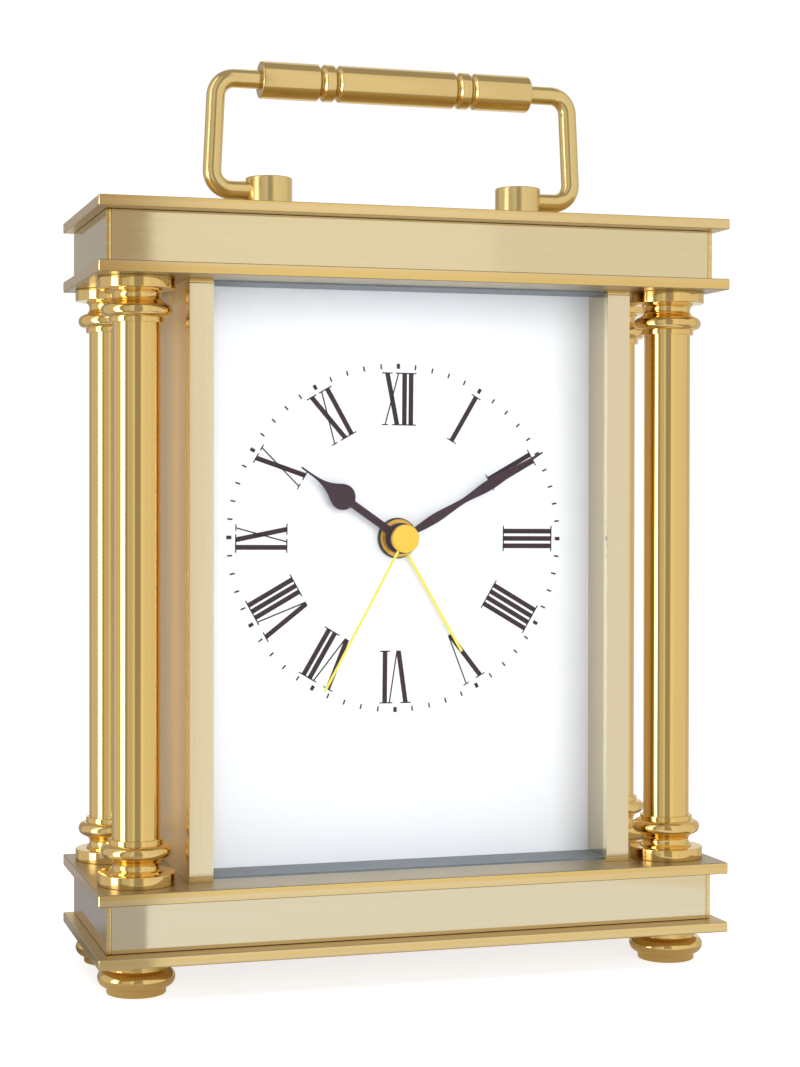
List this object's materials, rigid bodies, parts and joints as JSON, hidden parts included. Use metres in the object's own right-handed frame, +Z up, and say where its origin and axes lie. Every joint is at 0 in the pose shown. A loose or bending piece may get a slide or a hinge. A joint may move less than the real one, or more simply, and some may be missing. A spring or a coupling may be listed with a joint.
{
  "type": "mantel clock",
  "caption": "Brass mantel clock with four turned pillars, a glazed dial, a folding carry handle and a quartz alarm movement behind a rear door.",
  "frame": {"origin": "middle of the clock's outline, level with the shelf its feet stand on", "axes": "+Z up, +X to the right of someone reading the dial, +Y towards the rear door; the dial faces -Y"},
  "size_m": [0.135, 0.0492, 0.1916],
  "materials": {
    "polished_brass": "polished and lacquered, mirror-like, warm gold",
    "satin_brass": "finely brushed along its length and lacquered, pale gold",
    "glass": "clear, flat, polished",
    "dial_enamel": "white, smooth, low gloss, with printed markings",
    "hand_black": "very dark brown-black satin paint",
    "hand_gold": "yellow-gold satin paint",
    "movement_plastic": "moulded black plastic, fine matt texture",
    "wheel_plastic": "moulded ivory plastic",
    "contact_steel": "nickel-plated steel",
    "circuit_green": "green board with solder mask",
    "coil_copper": null,
    "battery_wrap": null
  },
  "bodies": {
    "case": {"base_bottom_plate": "polished_brass", "base_top_plate": "polished_brass", "cornice_lower_plate": "polished_brass", "cornice_top_plate": "polished_brass", "pillar_base_front_left": "polished_brass", "pillar_base_front_right": "polished_brass", "pillar_base_rear_left": "polished_brass", "pillar_base_rear_right": "polished_brass", "pillar_capital_front_left": "polished_brass", "pillar_capital_front_right": "polished_brass", "pillar_capital_rear_left": "polished_brass", "pillar_capital_rear_right": "polished_brass", "pillar_shaft_front_left": "polished_brass", "pillar_shaft_front_right": "polished_brass", "pillar_shaft_rear_left": "polished_brass", "pillar_shaft_rear_right": "polished_brass", "foot_front_left": "polished_brass", "foot_front_right": "polished_brass", "foot_rear_left": "polished_brass", "foot_rear_right": "polished_brass", "left_side_panel": "polished_brass", "right_side_panel": "polished_brass", "left_dial_rail": "polished_brass", "right_dial_rail": "polished_brass", "handle_post_left": "polished_brass", "handle_post_right": "polished_brass", "centre_bush": "polished_brass", "base_band": "satin_brass", "cornice_band": "satin_brass", "left_stile": "satin_brass", "right_stile": "satin_brass", "front_glass": "glass", "dial_plate": "dial_enamel", "movement_housing": "movement_plastic", "movement_back_cover": "movement_plastic", "dial_nut": "movement_plastic", "door_pin_bottom": "contact_steel", "door_pin_top": "contact_steel", "contact_positive": "contact_steel", "contact_negative": "contact_steel", "circuit_board": "circuit_green", "motor_coil": "coil_copper", "battery": "battery_wrap"},
    "handle": {"handle_bail": "polished_brass", "handle_grip": "polished_brass"},
    "minute_work": {"minute_hand": "hand_black", "cannon_pinion": "contact_steel"},
    "hour_work": {"hour_hand": "hand_black", "hour_wheel": "wheel_plastic"},
    "seconds_work": {"second_hand": "hand_gold", "seconds_wheel": "contact_steel"},
    "alarm_work": {"alarm_hand": "hand_gold", "alarm_wheel": "wheel_plastic"},
    "time_setting": {"motion_wheel": "wheel_plastic", "time_set_knob": "movement_plastic"},
    "alarm_setting": {"alarm_set_knob": "movement_plastic"},
    "step_rotor": {"step_wheel": "wheel_plastic"},
    "door": {"rear_door": "polished_brass", "rear_door_knob": "polished_brass"},
    "switch": {"alarm_switch": "wheel_plastic"}
  },
  "joints": [
    {"name": "handle_fold", "type": "hinge", "parent": "case", "child": "handle", "pos_m": [0, -0.0016, 0.1641], "axis": [1, 0, 0], "range_deg": [-90, 90]},
    {"name": "minute_turn", "type": "hinge", "parent": "case", "child": "minute_work", "pos_m": [0, 0, 0.0912], "axis": [0, 1, 0], "continuous": true},
    {"name": "hour_turn", "type": "hinge", "parent": "case", "child": "hour_work", "pos_m": [0, 0, 0.0912], "axis": [0, 1, 0], "continuous": true},
    {"name": "seconds_turn", "type": "hinge", "parent": "case", "child": "seconds_work", "pos_m": [0, 0, 0.0912], "axis": [0, 1, 0], "continuous": true},
    {"name": "alarm_turn", "type": "hinge", "parent": "case", "child": "alarm_work", "pos_m": [0, 0, 0.0912], "axis": [0, 1, 0], "continuous": true},
    {"name": "time_set_turn", "type": "hinge", "parent": "case", "child": "time_setting", "pos_m": [0.00813, 0, 0.09933], "axis": [0, 1, 0], "continuous": true},
    {"name": "alarm_set_turn", "type": "hinge", "parent": "case", "child": "alarm_setting", "pos_m": [-0.00849, 0, 0.09969], "axis": [0, 1, 0], "continuous": true},
    {"name": "step_wheel_turn", "type": "hinge", "parent": "case", "child": "step_rotor", "pos_m": [-0.0113, 0, 0.0912], "axis": [0, 1, 0], "continuous": true},
    {"name": "rear_door_swing", "type": "hinge", "parent": "case", "child": "door", "pos_m": [0.0448, 0.0173, 0.0832], "axis": [0, 0, -1], "range_deg": [0, 90]},
    {"name": "alarm_switch_slide", "type": "slide", "parent": "case", "child": "switch", "axis": [1, 0, 0], "range_m": [0, 0.0042]}
  ],
  "couplings": [
    {"joint": "hour_turn", "follows": "minute_turn", "ratio": 0.083333},
    {"joint": "time_set_turn", "follows": "minute_turn", "ratio": -0.33333},
    {"joint": "alarm_set_turn", "follows": "alarm_turn", "ratio": -3.3333},
    {"joint": "step_wheel_turn", "follows": "seconds_turn", "ratio": -1.2}
  ]
}
